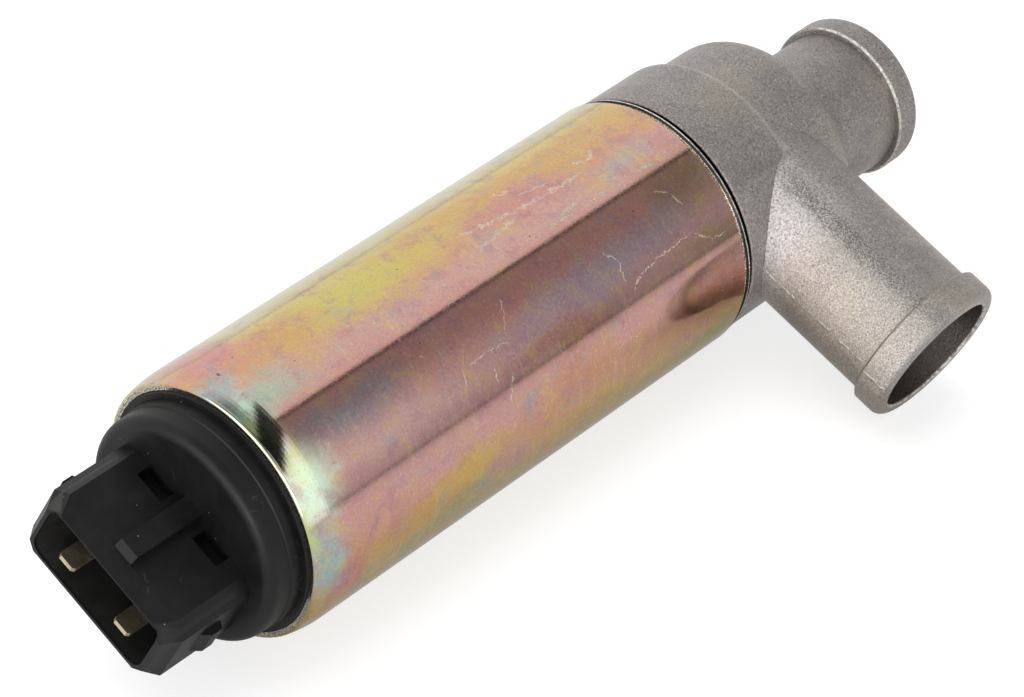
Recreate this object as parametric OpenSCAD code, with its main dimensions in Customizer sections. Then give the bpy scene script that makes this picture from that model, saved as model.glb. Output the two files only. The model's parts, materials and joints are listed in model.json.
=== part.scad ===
// Idle control valve: a solenoid in a plated steel can, with a two-blade connector at one end
// and a cast valve housing with two beaded hose tails at the other.
// The body axis is X. Inside this file x = 0 is the can's mouth at the connector end, the side
// tail points along -Y, and place() then sets the origin and lays the valve down as it rests.

/* [Can] */
// Outer radius of the steel can
can_r = 18.5; // [17.5:0.1:22]
// Sheet thickness of the can
can_wall = 1; // [0.6:0.1:1.2]
// Length of the can
can_length = 82.3; // [76:0.1:100]
// How far the mouth is rolled inwards
lip_roll = 0.45; // [0.2:0.05:0.7]
// Length of the rolled stretch behind the mouth
lip_length = 4.3; // [2.5:0.1:4.4]

/* [Connector cap] */
// Depth of the cap inside the can
cap_depth = 7; // [6.6:0.1:9]
// Distance from the can's outside in to the round boss
boss_inset = 2.7; // [2.3:0.1:3.5]
// Length of the boss in front of the can's mouth
boss_length = 5.6; // [4.5:0.1:8]
// Rounding between the boss's side and its face
boss_round = 1.5; // [0.8:0.1:2.2]
// Width of the rectangular header over its two ends
header_w = 24.6; // [23:0.1:26]
// Height of the header
header_h = 12.1; // [11:0.1:13]
// Length of the header in front of the boss
header_length = 14; // [12:0.5:18]
// Size of the corner cuts on the key rib's side of the header
header_corner = 2.1; // [1:0.1:3]
// Size of the corner cuts on the header's other side
under_corner = 0.6; // [0.3:0.1:2]
// Wall of the header along its two long sides
header_wall = 1.2; // [1:0.05:1.6]
// Wall of the header at its two ends
end_wall = 2.1; // [1.8:0.1:2.6]
// Length of the tapered nose of the header
nose_length = 2.5; // [1.5:0.1:3.5]
// Depth of the taper at the nose
nose_depth = 0.85; // [0.4:0.05:1]
// Extra taper of the nose at the header's two ends
nose_end_depth = 0.7; // [0:0.05:0.8]
// Depth of the socket inside the header
socket_depth = 11; // [9:0.5:12]
// Turn of the header about the body axis, against the side tail
header_turn = 7; // [0:1:20]
// Offset of the header from the body axis, across
header_side_shift = 0.15; // [-1:0.05:1]
// Offset of the header from the body axis, downwards
header_drop = 0.6; // [-1:0.1:1]
// Offset of the socket in the header, towards the key rib
socket_rise = 0.15; // [0:0.05:0.2]
// Width of the key rib on the header
key_w = 3.1; // [2.5:0.1:5]
// Offset of the key rib, away from the side tail
key_shift = 0.2; // [-1:0.1:1]
// Height of the key rib
key_h = 1.5; // [0.8:0.1:2]
// Distance from the key rib to each pocket beside it
pocket_gap = 1.4; // [1:0.1:2]
// Width of each pocket
pocket_w = 4.6; // [3.5:0.1:5]
// Length of each pocket in front of the boss
pocket_length = 2.4; // [1.8:0.1:2.7]
// Depth of each pocket
pocket_depth = 2.2; // [1:0.1:3]
// Place of the locking lugs behind the header's mouth
lug_place = 5.3; // [4.5:0.1:6]
// How much further back the lug on the side tail's side sits
lug_stagger = 2.2; // [0:0.1:2.4]
// Length of each lug
lug_length = 3.6; // [3:0.1:4.5]
// Height of each lug above the end wall
lug_h = 0.95; // [0.5:0.05:1.4]
// Width of each lug
lug_w = 4.4; // [3:0.1:6]
// Offset of the lugs below the header's middle
lug_drop = 0.8; // [0:0.1:1.5]

/* [Terminals] */
// Width of a terminal blade
blade_w = 2.8; // [2.4:0.1:3.2]
// Thickness of a terminal blade
blade_t = 0.8; // [0.6:0.1:1]
// Distance between the two blades, centre to centre
blade_pitch = 10.5; // [9:0.05:12]
// Distance from the socket's mouth back to the blade tips
blade_recess = 0.6; // [0.2:0.1:3]
// Offset of the blades below the middle of the socket
blade_drop = 2.1; // [0:0.1:2.4]
// Radius of the two lead wires
wire_r = 0.45; // [0.3:0.05:0.6]

/* [Solenoid] */
// Thickness of the rear pole plate
back_plate_t = 3.5; // [3:0.1:5]
// Thickness of the front pole plate
front_plate_t = 5; // [4.6:0.1:7]
// Inner radius of the guide tube
guide_r = 9.05; // [8.6:0.05:9.3]
// Wall of the guide tube
guide_wall = 0.45; // [0.3:0.05:0.6]
// Wall of the coil bobbin
bobbin_wall = 1.2; // [0.8:0.1:1.5]
// Distance from the can's inside in to the bobbin's flanges
flange_inset = 0.9; // [0.5:0.1:1.5]
// Length of the fixed core inside the coil
core_length = 15.5; // [14:0.5:18]
// Length of the armature
armature_length = 22; // [18:0.5:26]
// Radius of the armature shaft
shaft_r = 2.5; // [2:0.1:2.8]
// Outer radius of both shaft bushes
bush_r = 4.5; // [4.2:0.1:5]
// Length of the rear bush
rear_bush_length = 7.5; // [7:0.1:8]
// Radius of the adjusting screw
screw_r = 3; // [2.5:0.1:3.3]
// Working travel of the armature and the spool
stroke = 4.5; // [3:0.1:5]
// Mean radius of the return spring's coils
spring_r = 5.5; // [4.8:0.1:5.8]
// Radius of the return spring's wire
spring_wire_r = 0.5; // [0.3:0.05:0.6]
// Number of turns of the return spring
spring_turns = 7; // [4:1:9]

/* [Casting] */
// Thickness of the gasket between can and casting
gasket_t = 0.3; // [0.2:0.05:1]
// Thickness of the steel washer beside the gasket
washer_t = 0.75; // [0.5:0.05:1]
// Width of the groove between the washer and the collar
joint_gap = 0.8; // [0.5:0.05:1.2]
// Length of the casting's spigot inside the can
spigot_length = 15.8; // [12:0.1:18]
// How far the collar lies below the can's surface
collar_step = 0.4; // [0.25:0.05:1]
// Length of the collar
collar_length = 12.9; // [11:0.1:14]
// Radius of the valve chamber's outside
chamber_r = 16.8; // [16.4:0.1:17.4]
// Length of the valve chamber's outside
chamber_length = 13.5; // [12:0.1:15]
// Rounding at the far end of the chamber
chamber_round = 4.6; // [2:0.1:5]

/* [Valve] */
// Bore of the casting that holds the valve sleeve
valve_bore_r = 14; // [13.6:0.05:14.3]
// Wall of the valve sleeve
sleeve_wall = 1.9; // [1.5:0.05:2.2]
// Length of the valve sleeve
sleeve_length = 31.5; // [30.5:0.1:33]
// Length of the sleeve's window along the axis
window_length = 8; // [6:0.1:9]
// Width of the sleeve's window
window_w = 13; // [8:0.1:15]
// Length of the hollow spool
spool_length = 16; // [15:0.1:17.5]
// Wall of the spool
spool_wall = 1.4; // [1:0.1:1.8]
// Turn of the window about the body axis, from the side tail's direction upwards
window_turn = 24; // [15:1:35]
// How far the window stays open with no current
rest_opening = 1.5; // [0.5:0.1:2]
// Number of pressure holes through the spool's web
spool_holes = 6; // [3:1:8]

/* [Hose tails] */
// Radius of both hose tails
tail_r = 10.48; // [10.2:0.02:10.8]
// Radius of the air passage in both tails
tail_bore_r = 9.15; // [8.5:0.05:9.4]
// Radius over the bead at each tail's end
bead_r = 11.4; // [11:0.05:12]
// Length of each bead
bead_length = 4.5; // [4:0.1:6]
// Rounding of each bead at the tail's mouth
bead_round = 1.4; // [1:0.1:1.8]
// Distance from the can's axis to the side tail's end
side_reach = 40.9; // [36:0.1:50]
// Distance from the collar's face to the side tail's axis
side_place = 13.5; // [12.5:0.1:14.5]
// Offset of the side tail above the body axis
side_lift = 5.7; // [4.5:0.1:6]
// Length of the casting from the collar's face to the axial tail's end
axial_reach = 45.4; // [41:0.1:55]
// Sideways offset of the axial tail from the body axis, towards the side tail
axial_shift = 0.8; // [0:0.1:0.9]

/* [Hidden] */
$fn = 96;

// Clearances: a seated fit, a pressed fit and a running fit
fit_gap = 0.05;
press_gap = 0.01;
run_gap = 0.04;
eps = 0.01;

// The can's inside and its mouth
can_in_r = can_r - can_wall;
mouth_r = can_r - lip_roll;
mouth_in_r = mouth_r - can_wall;
boss_r = can_r - boss_inset;
collar_r = can_r - collar_step;
bobbin_r = can_in_r - flange_inset;

// Places along the axis, stacked from the cap to the casting
back_plate_x = cap_depth;
bobbin_x = back_plate_x + back_plate_t;
front_plate_x = can_length + gasket_t + washer_t - spigot_length - front_plate_t;
spigot_x = front_plate_x + front_plate_t;
gasket_x = can_length;
washer_x = gasket_x + gasket_t;
cast_x = washer_x + washer_t;
collar_end_x = cast_x + collar_length;
chamber_end_x = collar_end_x + chamber_length;
side_x = cast_x + side_place;
axial_end_x = cast_x + axial_reach;

// Cap and header
boss_face_x = -boss_length;
header_front_x = boss_face_x - header_length;
nose_x = header_front_x + nose_length;
socket_floor_x = header_front_x + socket_depth;
boss_step = 0.2;
boss_step_length = 2.1;
cap_wall = 1.8;
cap_front_wall = 3.1;
cap_hollow_r = boss_r - cap_wall;
cap_hollow_x = boss_face_x + cap_front_wall;
seal_wire_r = 0.9;
seal_back = 1.6;
seal_place_x = cap_depth - seal_back;

// Terminals and lead wires
blade_tip_x = header_front_x + blade_recess;
blade_tail = 2.6;
blade_tail_x = cap_hollow_x + blade_tail;
blade_z = -blade_drop;
wire_inset = 2.2;
wire_y = cap_hollow_r - wire_inset;
tail_over = 0.9;

// Solenoid
guide_out_r = guide_r + guide_wall;
hub_out_r = guide_out_r + fit_gap + bobbin_wall;
flange_t = 1.6;
winding_r = bobbin_r - 0.7;
core_front_x = bobbin_x + core_length;
core_stud_r = 5.2;
spring_pocket_r = spring_r + spring_wire_r + 0.7;
core_pocket_depth = 6;
rear_bush_x = core_front_x - core_pocket_depth - rear_bush_length;
air_gap = stroke + 1.5;
armature_x = core_front_x + air_gap;
armature_end_x = armature_x + armature_length;
armature_pocket_depth = 5;
armature_r = guide_r - fit_gap;
stop_gap = 0.3;
front_bush_x = armature_end_x + stop_gap;
bush_reach = 2;
front_bush_end_x = spigot_x + bush_reach;
shaft_back_x = rear_bush_x + stroke + 0.2;
guide_end_x = front_plate_x + front_plate_t - 1;
screw_tip_x = rear_bush_x - 0.7;

// Valve
sleeve_in_r = valve_bore_r - fit_gap - sleeve_wall;
sleeve_stop = 0.4;
bore_end_x = collar_end_x + chamber_length - sleeve_stop;
sleeve_x = bore_end_x - sleeve_length;
spool_r = sleeve_in_r - run_gap;
window_x = side_x - window_length * 0.45;
spool_end_x = window_x + window_length - rest_opening;
spool_x = spool_end_x - spool_length;
hub_length = 6.2;
hub_r = 4.6;
hub_x = spool_x + spool_length / 2 - hub_length / 2;
web_t = 3;
nose_r = shaft_r - 0.3;
clip_t = 0.75;
clip_mouth = 2.4;
clip_x = hub_x + hub_length + 0.05;
ring_t = 1.2;
ring_groove = 0.6;

// The side tail's bead and the can both touch the table, which sets how far the valve rolls
touch_out = side_reach - bead_round;
touch_down = bead_r - bead_round - side_lift;
touch_far = sqrt(touch_out * touch_out + touch_down * touch_down);
lie_turn = asin((can_r - bead_round) / touch_far) - atan(touch_down / touch_out);
origin_x = (lip_length + can_length) / 2;

// Sets the origin on the can's axis, halfway along it, and turns the valve to where it rests
module place() {
    rotate([lie_turn, 0, 0]) translate([-origin_x, 0, 0]) children();
}

// A profile of [radius, place] points turned round the body axis
module turned() {
    rotate([0, 90, 0]) rotate_extrude() children();
}

// A round bar along X
module bar(x0, x1, r) {
    translate([x0, 0, 0]) rotate([0, 90, 0]) cylinder(r = r, h = x1 - x0);
}

// A tube along X
module tube(x0, x1, r_out, r_in) {
    difference() {
        bar(x0, x1, r_out);
        bar(x0 - 1, x1 + 1, r_in);
    }
}

// A flat shape in Y and Z, pulled out along X
module along_x(x0, x1) {
    translate([x0, 0, 0]) rotate([90, 0, 90]) linear_extrude(x1 - x0) children();
}

// The header's own frame: turned about the body axis and shifted off it
module header_place() {
    rotate([header_turn, 0, 0]) translate([0, header_side_shift, -header_drop]) children();
}

// The can: drawn tube with its mouth rolled in over the cap and its cut edge rounded off
edge_round = 0.45;
edge_cut = 0.25;
lip_steps = 8;
lip_curve = [
    for (i = [0 : lip_steps])
        let (t = i / lip_steps)
            [can_r - lip_roll * (1 - t) * (1 - t), edge_round + (lip_length - edge_round) * t]
];
lip_inner_points = [
    for (i = [lip_steps : -1 : 0])
        let (t = i / lip_steps)
            [can_in_r - lip_roll * (1 - t) * (1 - t), lip_length * t]
];
module can_body() {
    color("goldenrod")
    place()
    turned()
    union() {
        polygon(concat(
            [[mouth_r - edge_round, 0], [mouth_r - edge_round, edge_round]],
            lip_curve,
            [
                [can_r, can_length - edge_cut],
                [can_r - edge_cut, can_length],
                [can_in_r, can_length]
            ],
            lip_inner_points
        ));
        translate([mouth_r - edge_round, edge_round]) circle(r = edge_round, $fn = 48);
    }
}

// The cast housing: spigot, collar, chamber and two beaded hose tails, with the air passages
bead_edge = 0.3;
mouth_cut = 0.25;
collar_edge = 0.25;
collar_far_edge = 0.6;
// The side passage narrows a little where it meets the valve's bore
throat_cut = 0.4;
throat_end = valve_bore_r + 0.5;
passage_start = 5;

// Half section of a hose tail from its root to its beaded end
module tail_profile(root, reach) {
    bead_start = reach - bead_length;
    union() {
        translate([0, root]) square([tail_r, reach - root - 1]);
        polygon([
            [0, bead_start],
            [bead_r - bead_edge, bead_start],
            [bead_r, bead_start + bead_edge],
            [bead_r, reach - bead_round],
            [bead_r - bead_round, reach - bead_round],
            [bead_r - bead_round, reach],
            [0, reach]
        ]);
        translate([bead_r - bead_round, reach - bead_round]) circle(r = bead_round);
    }
}

// Outside of the collar and chamber, with the rounded far shoulder
module casting_profile() {
    union() {
        translate([0, cast_x]) square([can_in_r + 0.1, 2]);
        polygon([
            [0, cast_x + joint_gap],
            [collar_r - collar_edge, cast_x + joint_gap],
            [collar_r, cast_x + joint_gap + collar_edge],
            [collar_r, collar_end_x - collar_far_edge],
            [0, collar_end_x - collar_far_edge]
        ]);
        polygon([
            [0, collar_end_x - collar_far_edge],
            [collar_r, collar_end_x - collar_far_edge],
            [collar_r - collar_far_edge, collar_end_x],
            [0, collar_end_x]
        ]);
        translate([0, collar_end_x - 1])
            square([chamber_r, chamber_length + 1 - chamber_round]);
        translate([0, collar_end_x]) square([chamber_r - chamber_round, chamber_length]);
        translate([chamber_r - chamber_round, chamber_end_x - chamber_round])
            circle(r = chamber_round);
    }
}

// The side tail's own frame: its axis runs along Z, out from above the body axis
module side_tail_place() {
    translate([side_x, 0, side_lift]) rotate([90, 0, 0]) children();
}

module valve_housing() {
    color("darkgray")
    place()
    difference() {
        union() {
            bar(spigot_x, cast_x + 1, can_in_r - fit_gap);
            turned() casting_profile();
            side_tail_place() rotate_extrude() tail_profile(0, side_reach);
            translate([0, -axial_shift, 0]) turned() tail_profile(collar_end_x, axial_end_x);
        }
        bar(spigot_x - 1, bore_end_x, valve_bore_r);
        bar(sleeve_x - ring_t, sleeve_x, valve_bore_r + ring_groove);
        translate([0, -axial_shift, 0]) {
            bar(bore_end_x - 1, axial_end_x + 1, tail_bore_r);
            turned() mouth_profile(axial_end_x);
        }
        side_tail_place() {
            translate([0, 0, passage_start])
                cylinder(r = tail_bore_r - throat_cut, h = side_reach - passage_start);
            translate([0, 0, throat_end])
                cylinder(r = tail_bore_r, h = side_reach + 1 - throat_end);
            rotate_extrude() mouth_profile(side_reach);
        }
    }
}

// Cut that breaks the sharp edge at a tail's mouth
module mouth_profile(reach) {
    polygon([
        [0, reach - mouth_cut],
        [tail_bore_r, reach - mouth_cut],
        [tail_bore_r + mouth_cut + 0.1, reach + 0.1],
        [0, reach + 0.1]
    ]);
}

washer_rim = 0.2;

module joint_washer() {
    color("gainsboro")
    place()
    turned() polygon([
        [can_in_r, washer_x],
        [can_r - washer_rim - 0.45, washer_x],
        [can_r - washer_rim, washer_x + washer_t * 0.6],
        [can_r - washer_rim, cast_x],
        [can_in_r, cast_x]
    ]);
}

module housing_gasket() {
    color("black")
    place()
    tube(gasket_x, washer_x, can_r - 0.6, can_in_r);
}

// Octagonal outline of the header, drawn in by a distance on all sides
module header_outline(end_inset, inset, corner) {
    w = header_w / 2 - end_inset;
    h = header_h / 2 - inset;
    polygon([
        [w - corner, -h], [w, -h + corner],
        [w, h - header_corner], [w - header_corner, h],
        [header_corner - w, h], [-w, h - header_corner],
        [-w, corner - h], [corner - w, -h]
    ]);
}

// Socket outline with rounded corners
socket_corner = 1.9;

module socket_outline() {
    w = header_w / 2 - end_wall - socket_corner;
    h = header_h / 2 - header_wall - socket_corner;
    translate([0, socket_rise]) union() {
        square([2 * (w + socket_corner), 2 * h], center = true);
        square([2 * w, 2 * (h + socket_corner)], center = true);
        for (y = [-w, w], z = [-h, h]) translate([y, z]) circle(r = socket_corner);
    }
}

// Boss and plug of the cap, in [radius, place] points
module cap_profile() {
    union() {
        polygon([
            [0, cap_depth],
            [can_in_r - fit_gap, cap_depth],
            [can_in_r - fit_gap, lip_length],
            [mouth_in_r - fit_gap, 0.1],
            [mouth_in_r - fit_gap - 0.2, -0.3],
            [boss_r + boss_step, -0.3],
            [boss_r + boss_step, 0.15 - boss_step_length],
            [boss_r, -boss_step_length],
            [boss_r, boss_face_x + boss_round],
            [boss_r - boss_round, boss_face_x + boss_round],
            [boss_r - boss_round, boss_face_x],
            [0, boss_face_x]
        ]);
        translate([boss_r - boss_round, boss_face_x + boss_round]) circle(r = boss_round);
    }
}

// Locking lug on one end of the header, with a long ramp towards the front
module lug(start) {
    half_w = header_w / 2;
    lug_x = header_front_x + start;
    translate([0, 0, -lug_drop - lug_w / 2]) linear_extrude(lug_w) polygon([
        [lug_x, half_w - 0.5],
        [lug_x, half_w],
        [lug_x + lug_length * 0.4, half_w + lug_h],
        [lug_x + lug_length * 0.85, half_w + lug_h],
        [lug_x + lug_length, half_w],
        [lug_x + lug_length, half_w - 0.5]
    ]);
}

// Key rib down the middle of the header's top
module key_rib() {
    top = header_h / 2 + key_h;
    translate([0, key_shift + key_w / 2, 0]) rotate([90, 0, 0]) linear_extrude(key_w) polygon([
        [nose_x - 0.1, header_h / 2 - 0.5],
        [nose_x - 0.1, header_h / 2 + 0.3],
        [nose_x + 0.6, top],
        [boss_face_x + 0.5, top],
        [boss_face_x + 0.5, header_h / 2 - 0.5]
    ]);
}

// Two pockets in the header's top, each side of the key rib, cut a little way under the boss
pocket_under = 0.4;

module pockets() {
    for (side = [-1, 1])
        translate([
            boss_face_x - pocket_length,
            key_shift + side * (key_w / 2 + pocket_gap + pocket_w / 2) - pocket_w / 2,
            header_h / 2 - pocket_depth
        ])
        cube([pocket_length, pocket_w, pocket_depth + 1]);
    for (side = [-1, 1])
        translate([
            boss_face_x - 1,
            key_shift + side * (key_w / 2 + pocket_gap + pocket_w / 2) - pocket_w / 2,
            header_h / 2 - pocket_depth
        ])
        cube([1 + pocket_under, pocket_w, pocket_depth - 0.3]);
}

// Slot for one blade through the cap's front wall
module blade_slot(side) {
    translate([
        socket_floor_x - 1,
        side * blade_pitch / 2 - blade_w / 2 - press_gap,
        blade_z - blade_t / 2 - press_gap
    ])
    cube([cap_hollow_x - socket_floor_x + 2, blade_w + 2 * press_gap, blade_t + 2 * press_gap]);
}

module connector_cap() {
    color([0.14, 0.14, 0.14])
    place()
    difference() {
        union() {
            turned() cap_profile();
            header_place() {
                along_x(nose_x, boss_face_x + 1) header_outline(0, 0, under_corner);
                hull() {
                    along_x(nose_x - eps, nose_x) header_outline(0, 0, under_corner);
                    along_x(header_front_x, header_front_x + eps)
                        header_outline(nose_depth + nose_end_depth, nose_depth, 2 * under_corner);
                }
                key_rib();
                lug(lug_place - lug_stagger / 2);
                mirror([0, 1, 0]) lug(lug_place + lug_stagger / 2);
            }
        }
        bar(cap_hollow_x, cap_depth + 1, cap_hollow_r);
        turned()
            translate([can_in_r - fit_gap - 2 * seal_wire_r, seal_place_x - seal_wire_r - fit_gap])
            square([2 * seal_wire_r + 1, 2 * (seal_wire_r + fit_gap)]);
        header_place() {
            along_x(header_front_x - 1, socket_floor_x) socket_outline();
            pockets();
            blade_slot(-1);
            blade_slot(1);
        }
    }
}

// Terminal blade: chamfered tip in the socket, tail bent outwards behind the cap's front wall
tip_cut = 0.35;

module terminal_blade(side) {
    header_place()
    union() {
        translate([0, side * blade_pitch / 2, blade_z - blade_t / 2]) {
            linear_extrude(blade_t) polygon([
                [blade_tip_x, -blade_w / 2 + tip_cut],
                [blade_tip_x + tip_cut, -blade_w / 2],
                [blade_tail_x, -blade_w / 2],
                [blade_tail_x, blade_w / 2],
                [blade_tip_x + tip_cut, blade_w / 2],
                [blade_tip_x, blade_w / 2 - tip_cut]
            ]);
        }
        translate([blade_tail_x - blade_t, 0, blade_z - blade_w / 2])
            cube_between_y(side * blade_pitch / 2 - side * blade_w / 2, side * (wire_y + tail_over));
    }
}

// Bent tail of a blade, from one y to another
module cube_between_y(y0, y1) {
    translate([0, min(y0, y1), 0]) cube([blade_t, abs(y1 - y0), blade_w]);
}

module terminal_blade_left() {
    color("tan")
    place()
    terminal_blade(1);
}

module terminal_blade_right() {
    color("tan")
    place()
    terminal_blade(-1);
}

// Lead wire from a blade's tail to the winding
module lead_wire(side) {
    header_place()
    translate([0, side * wire_y, blade_z])
    bar(blade_tail_x, bobbin_x + flange_t, wire_r);
}

module lead_wire_left() {
    color("sienna")
    place()
    lead_wire(1);
}

module lead_wire_right() {
    color("sienna")
    place()
    lead_wire(-1);
}

module cap_seal() {
    color("black")
    place()
    turned()
    translate([can_in_r - fit_gap - seal_wire_r, seal_place_x])
    circle(r = seal_wire_r - press_gap, $fn = 48);
}

// Holes for both lead wires, through whatever lies between blade and winding
module wire_holes(x0, x1, r) {
    header_place()
    for (side = [-1, 1]) translate([0, side * wire_y, blade_z]) bar(x0, x1, r);
}

module back_plate() {
    color("slategray")
    place()
    difference() {
        tube(back_plate_x, back_plate_x + back_plate_t, can_in_r - fit_gap, core_stud_r + press_gap);
        wire_holes(back_plate_x - 1, bobbin_x + 1, wire_r + 0.9);
    }
}

module fixed_core() {
    color("slategray")
    place()
    difference() {
        union() {
            bar(back_plate_x, bobbin_x + 1, core_stud_r);
            bar(bobbin_x, core_front_x, guide_r - fit_gap);
        }
        bar(back_plate_x - 1, rear_bush_x + 1, screw_r + press_gap);
        bar(rear_bush_x, core_front_x, bush_r + press_gap);
        bar(core_front_x - core_pocket_depth, core_front_x + 1, spring_pocket_r);
    }
}

// Slotted screw that sets the rest position from behind
module adjusting_screw() {
    color("silver")
    place()
    difference() {
        bar(back_plate_x - 0.8, screw_tip_x, screw_r);
        translate([back_plate_x - 1.8, -screw_r - 1, -0.4]) cube([2, 2 * screw_r + 2, 0.8]);
    }
}

module rear_bush() {
    color("peru")
    place()
    tube(rear_bush_x, rear_bush_x + rear_bush_length, bush_r, shaft_r + run_gap);
}

module front_bush() {
    color("peru")
    place()
    tube(front_bush_x, front_bush_end_x, bush_r, shaft_r + run_gap);
}

module coil_bobbin() {
    color("ivory")
    place()
    difference() {
        union() {
            bar(bobbin_x, front_plate_x, hub_out_r);
            bar(bobbin_x, bobbin_x + flange_t, bobbin_r);
            bar(front_plate_x - flange_t, front_plate_x, bobbin_r);
        }
        bar(bobbin_x - 1, front_plate_x + 1, guide_out_r + fit_gap);
        wire_holes(bobbin_x - 1, bobbin_x + flange_t + 0.5, wire_r + fit_gap);
    }
}

module coil_winding() {
    color("chocolate")
    place()
    tube(bobbin_x + flange_t, front_plate_x - flange_t, winding_r, hub_out_r + press_gap);
}

module guide_tube() {
    color("khaki")
    place()
    tube(bobbin_x, guide_end_x, guide_out_r, guide_r);
}

module front_plate() {
    color("slategray")
    place()
    difference() {
        tube(front_plate_x, spigot_x, can_in_r - fit_gap, bush_r + press_gap);
        bar(front_plate_x - 1, guide_end_x, guide_out_r + fit_gap);
    }
}

// Rubber washer that keeps dust in the air stream away from the front bush
seal_t = 1.2;
seal_rim = 4;

module shaft_seal() {
    color("black")
    place()
    tube(spigot_x, spigot_x + seal_t, bush_r + seal_rim, bush_r + press_gap);
}

module armature() {
    color("lightsteelblue")
    place()
    difference() {
        tube(armature_x, armature_end_x, armature_r, shaft_r + press_gap);
        bar(armature_x - 1, armature_x + armature_pocket_depth, spring_pocket_r);
    }
}

module armature_shaft() {
    color("silver")
    place()
    difference() {
        union() {
            bar(shaft_back_x, hub_x, shaft_r);
            bar(hub_x - 1, clip_x + clip_t + 2, nose_r);
        }
        tube(clip_x, clip_x + clip_t, nose_r + 1, nose_r - 0.35);
    }
}

// Return spring: round wire swept along a helix between the core's pocket and the armature's
spring_x0 = core_front_x - core_pocket_depth + spring_wire_r + 0.02;
spring_x1 = armature_x + armature_pocket_depth - spring_wire_r - 0.02;
ring_sides = 8;
turn_steps = 20;
spring_rings = spring_turns * turn_steps;

// The spring is flat for one turn at each end and rises evenly between
function spring_rise(i) =
    let (flat = turn_steps, f = (i - flat) / (spring_rings - 2 * flat))
        min(1, max(0, f));
closed_pitch = 2 * spring_wire_r + 0.05;
spring_span = spring_x1 - spring_x0 - 2 * closed_pitch;
function spring_x(i) =
    spring_x0
    + closed_pitch * (min(i, turn_steps) + max(0, i - spring_rings + turn_steps)) / turn_steps
    + spring_span * spring_rise(i);
function ring_point(i, k) =
    let (a = 360 * i / turn_steps, b = 360 * k / ring_sides, r = spring_r + spring_wire_r * cos(b))
        [spring_x(i) + spring_wire_r * sin(b), r * cos(a), r * sin(a)];
spring_points = [for (i = [0 : spring_rings], k = [0 : ring_sides - 1]) ring_point(i, k)];
spring_faces = concat(
    [[for (k = [0 : ring_sides - 1]) k]],
    [
        for (i = [0 : spring_rings - 1], k = [0 : ring_sides - 1])
            let (a = i * ring_sides, b = a + ring_sides, n = (k + 1) % ring_sides)
                [a + k, b + k, b + n, a + n]
    ],
    [[for (k = [ring_sides - 1 : -1 : 0]) spring_rings * ring_sides + k]]
);

module return_spring() {
    color("lightgray")
    place()
    polyhedron(points = spring_points, faces = spring_faces, convexity = 10);
}

module valve_sleeve() {
    color("burlywood")
    place()
    difference() {
        tube(sleeve_x, bore_end_x, valve_bore_r - fit_gap, sleeve_in_r);
        rotate([-window_turn, 0, 0]) translate([window_x, -valve_bore_r - 1, -window_w / 2])
            cube([window_length, valve_bore_r, window_w]);
    }
}

ring_depth = 1.6;
ring_opening = 5;

module sleeve_ring() {
    color("silver")
    place()
    difference() {
        tube(
            sleeve_x - ring_t + press_gap, sleeve_x - press_gap,
            valve_bore_r + ring_groove - fit_gap, valve_bore_r - ring_depth
        );
        translate([sleeve_x - 2 * ring_t, -ring_opening / 2, 0])
            cube([3 * ring_t, ring_opening, valve_bore_r + ring_t]);
    }
}

spool_hole_r = 1.7;
land_groove_w = 0.8;
land_groove_depth = 0.4;
land_groove_pitch = 2;

module valve_spool() {
    color("whitesmoke")
    place()
    difference() {
        union() {
            tube(spool_x, spool_end_x, spool_r, spool_r - spool_wall);
            bar(hub_x + (hub_length - web_t) / 2, hub_x + (hub_length + web_t) / 2, spool_r - 0.5);
            bar(hub_x, hub_x + hub_length, hub_r);
        }
        bar(hub_x - 1, hub_x + hub_length + 1, nose_r + press_gap);
        for (i = [0 : spool_holes - 1])
            rotate([360 * i / spool_holes, 0, 0])
            translate([0, (hub_r + spool_r - spool_wall) / 2, 0])
            bar(hub_x - 1, hub_x + hub_length + 1, spool_hole_r);
        for (i = [1, 2])
            translate([spool_x + i * land_groove_pitch, 0, 0])
            tube(0, land_groove_w, spool_r + 1, spool_r - land_groove_depth);
    }
}

// Snap ring in the shaft's groove, open on one side
module spool_clip() {
    color("silver")
    place()
    difference() {
        tube(clip_x + press_gap, clip_x + clip_t - press_gap, nose_r + 1.3, nose_r - 0.3);
        translate([clip_x - clip_t, -clip_mouth / 2, 0])
            cube([3 * clip_t, clip_mouth, 2 * nose_r]);
    }
}

valve_housing();
can_body();
joint_washer();
housing_gasket();
connector_cap();
terminal_blade_left();
terminal_blade_right();
cap_seal();
back_plate();
fixed_core();
adjusting_screw();
rear_bush();
front_bush();
coil_bobbin();
coil_winding();
guide_tube();
lead_wire_left();
lead_wire_right();
front_plate();
shaft_seal();
armature();
armature_shaft();
return_spring();
valve_sleeve();
sleeve_ring();
valve_spool();
spool_clip();
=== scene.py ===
import json
import math

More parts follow.
